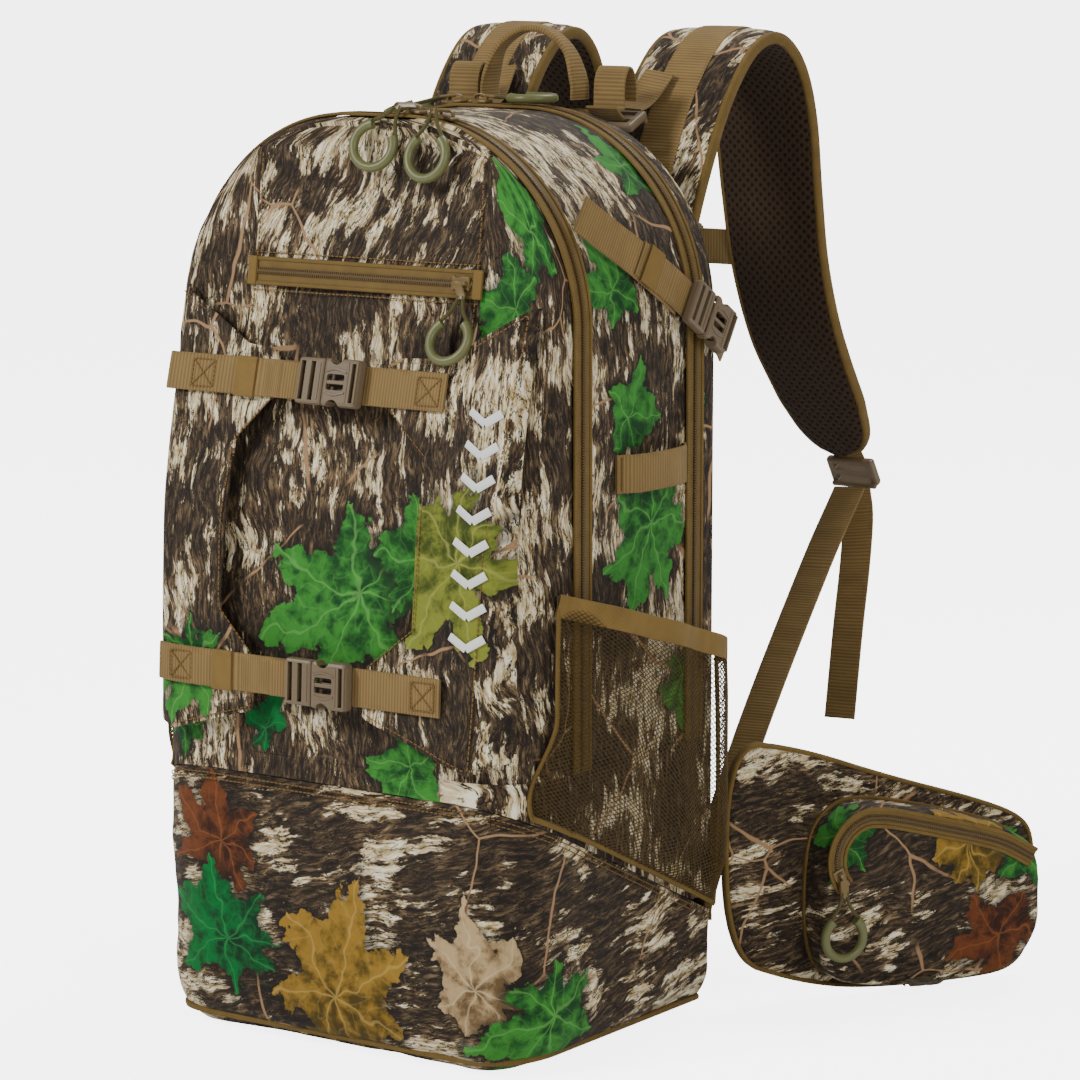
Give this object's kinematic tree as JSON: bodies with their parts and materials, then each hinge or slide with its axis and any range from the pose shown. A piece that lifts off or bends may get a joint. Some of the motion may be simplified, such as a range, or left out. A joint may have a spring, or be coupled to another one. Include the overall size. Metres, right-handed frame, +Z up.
{
  "type": "hunting backpack",
  "caption": "Panel-opening hunting backpack with a bow harness, mesh side pockets, padded shoulder straps and fold-out hip wings with zipped pouches.",
  "frame": {"origin": "centre of the base, on the surface that the bag stands on", "axes": "+Z up, -Y out of the front panel, +Y towards the wearer, +X to the side with the front zipper's right-hand slider"},
  "size_m": [0.612, 0.5079, 0.6585],
  "materials": {
    "camo": "woven polyester with a printed woodland pattern",
    "stiffener": "HDPE sheet",
    "stay_metal": "satin",
    "lining": "nylon lining",
    "air_mesh": "3-D spacer mesh",
    "pocket_mesh": "open diamond mesh",
    "zipper": "coil zipper tape",
    "pad": "foam pad, printed face and spacer mesh",
    "webbing": "ribbed nylon webbing",
    "buckle": "moulded acetal",
    "slider": "matt",
    "cord": "braided cord",
    "grip": "moulded"
  },
  "bodies": {
    "pack": {"boot": "camo", "stiffener_sheets": "stiffener", "frame_stays": "stay_metal", "lower_body": "camo", "rear_gusset": "camo", "back_panel": "air_mesh", "mesh_pockets": "pocket_mesh", "rear_zip_back": "zipper", "compression_sockets": "buckle", "shoulder_pad_px": "pad", "shoulder_pad_nx": "pad", "strap_webbing": "webbing", "ladder_locks": "buckle", "sternum_strap": "buckle"},
    "sternum_plug": {"sternum_plug": "buckle"},
    "handle": {"grab_handle": "webbing"},
    "main_lid": {"lid_gusset": "camo", "divider": "lining", "lid_zip_tapes": "zipper", "gear_loops": "webbing", "compression_straps": "webbing"},
    "compression_plug_px": {"compression_plug_px": "buckle"},
    "compression_plug_nx": {"compression_plug_nx": "buckle"},
    "front_flap": {"front_panel": "camo", "front_zip_front": "zipper", "pocket_zip": "zipper", "wing_px": "camo", "wing_nx": "camo", "harness_straps": "webbing", "harness_sockets": "buckle"},
    "plug_upper": {"plug_upper": "buckle"},
    "plug_lower": {"plug_lower": "buckle"},
    "hip_px": {"hip_wing_px": "camo", "hip_pouch_px": "camo", "waist_strap_px": "buckle"},
    "hip_nx": {"hip_wing_nx": "camo", "hip_pouch_nx": "camo", "waist_strap_nx": "buckle"},
    "slider_front_l": {"slider_front_l": "slider"},
    "pull_front_l": {"cord_front_l": "cord", "grip_front_l": "grip"},
    "slider_front_r": {"slider_front_r": "slider"},
    "pull_front_r": {"cord_front_r": "cord", "grip_front_r": "grip"},
    "slider_rear_l": {"slider_rear_l": "slider"},
    "pull_rear_l": {"cord_rear_l": "cord", "grip_rear_l": "grip"},
    "slider_rear_r": {"slider_rear_r": "slider"},
    "pull_rear_r": {"cord_rear_r": "cord", "grip_rear_r": "grip"},
    "slider_pocket": {"slider_pocket": "slider"},
    "pull_pocket": {"cord_pocket": "cord", "grip_pocket": "grip"},
    "slider_hip_px": {"slider_hip_px": "slider"},
    "pull_hip_px": {"cord_hip_px": "cord", "grip_hip_px": "grip"},
    "slider_hip_nx": {"slider_hip_nx": "slider"},
    "pull_hip_nx": {"cord_hip_nx": "cord", "grip_hip_nx": "grip"}
  },
  "joints": [
    {"name": "main_lid_fold", "type": "hinge", "parent": "pack", "child": "main_lid", "pos_m": [0, -0.124, 0.192], "axis": [1, 0, 0], "range_deg": [0, 60]},
    {"name": "front_flap_fold", "type": "hinge", "parent": "main_lid", "child": "front_flap", "pos_m": [0, -0.124, 0.192], "axis": [1, 0, 0], "range_deg": [0, 50]},
    {"name": "handle_flip", "type": "hinge", "parent": "pack", "child": "handle", "pos_m": [0, 0.112, 0.61], "axis": [1, 0, 0], "range_deg": [-20, 50]},
    {"name": "sternum_release", "type": "slide", "parent": "pack", "child": "sternum_plug", "axis": [1, 0, 0], "range_m": [-0.02, 0]},
    {"name": "upper_strap_release", "type": "slide", "parent": "front_flap", "child": "plug_upper", "axis": [1, 0, 0], "range_m": [-0.022, 0]},
    {"name": "lower_strap_release", "type": "slide", "parent": "front_flap", "child": "plug_lower", "axis": [1, 0, 0], "range_m": [-0.022, 0]},
    {"name": "compression_release_px", "type": "slide", "parent": "main_lid", "child": "compression_plug_px", "axis": [0, 0.8468, -0.5319], "range_m": [-0.02, 0]},
    {"name": "compression_release_nx", "type": "slide", "parent": "main_lid", "child": "compression_plug_nx", "axis": [0, 0.8468, -0.5319], "range_m": [-0.02, 0]},
    {"name": "hip_fold_px", "type": "hinge", "parent": "pack", "child": "hip_px", "pos_m": [0.157, 0.104, 0.1], "axis": [0, 0, 1], "range_deg": [-35, 10]},
    {"name": "hip_fold_nx", "type": "hinge", "parent": "pack", "child": "hip_nx", "pos_m": [-0.157, 0.104, 0.1], "axis": [0, 0, -1], "range_deg": [-35, 10]},
    {"name": "front_zip_right", "type": "hinge", "parent": "front_flap", "child": "slider_front_r", "pos_m": [0.023, -0.055, 0.475], "axis": [0, 1, 0], "range_deg": [0, 30]},
    {"name": "front_zip_left", "type": "slide", "parent": "front_flap", "child": "slider_front_l", "axis": [1, 0, 0], "range_m": [-0.045, 0]},
    {"name": "main_zip_left", "type": "hinge", "parent": "main_lid", "child": "slider_rear_l", "pos_m": [-0.023, 0.075, 0.475], "axis": [0, -1, 0], "range_deg": [0, 50]},
    {"name": "main_zip_right", "type": "slide", "parent": "main_lid", "child": "slider_rear_r", "axis": [1, 0, 0], "range_m": [0, 0.035]},
    {"name": "pocket_zip_slide", "type": "slide", "parent": "front_flap", "child": "slider_pocket", "axis": [1, 0, 0], "range_m": [-0.15, 0]},
    {"name": "hip_zip_px", "type": "hinge", "parent": "hip_px", "child": "slider_hip_px", "pos_m": [0.206, 0.18887, 0.104], "axis": [-0.866, 0.5, 0], "range_deg": [0, 110]},
    {"name": "hip_zip_nx", "type": "hinge", "parent": "hip_nx", "child": "slider_hip_nx", "pos_m": [-0.206, 0.18887, 0.104], "axis": [-0.866, -0.5, 0], "range_deg": [0, 110]},
    {"name": "pull_swing_front_l", "type": "hinge", "parent": "slider_front_l", "child": "pull_front_l", "pos_m": [0.02, -0.067, 0.614], "axis": [-0.8821, 0, 0.4711], "range_deg": [0, 60]},
    {"name": "pull_swing_front_r", "type": "hinge", "parent": "slider_front_r", "child": "pull_front_r", "pos_m": [0.048, -0.067, 0.612], "axis": [-1, 0, 0], "range_deg": [0, 60]},
    {"name": "pull_swing_rear_l", "type": "hinge", "parent": "slider_rear_l", "child": "pull_rear_l", "pos_m": [-0.046, 0.07, 0.6115], "axis": [0, 1, 0], "range_deg": [0, 60]},
    {"name": "pull_swing_rear_r", "type": "hinge", "parent": "slider_rear_r", "child": "pull_rear_r", "pos_m": [-0.01, 0.08, 0.612], "axis": [0, -1, 0], "range_deg": [0, 60]},
    {"name": "pull_swing_pocket", "type": "hinge", "parent": "slider_pocket", "child": "pull_pocket", "pos_m": [0.081, -0.08367, 0.49636], "axis": [-1, 0, 0], "range_deg": [0, 60]},
    {"name": "pull_swing_hip_px", "type": "hinge", "parent": "slider_hip_px", "child": "pull_hip_px", "pos_m": [0.23133, 0.14494, 0.08417], "axis": [-0.5, -0.866, 0], "range_deg": [0, 60]},
    {"name": "pull_swing_hip_nx", "type": "hinge", "parent": "slider_hip_nx", "child": "pull_hip_nx", "pos_m": [-0.23133, 0.14494, 0.08417], "axis": [-0.5, 0.866, 0], "range_deg": [0, 60]}
  ]
}
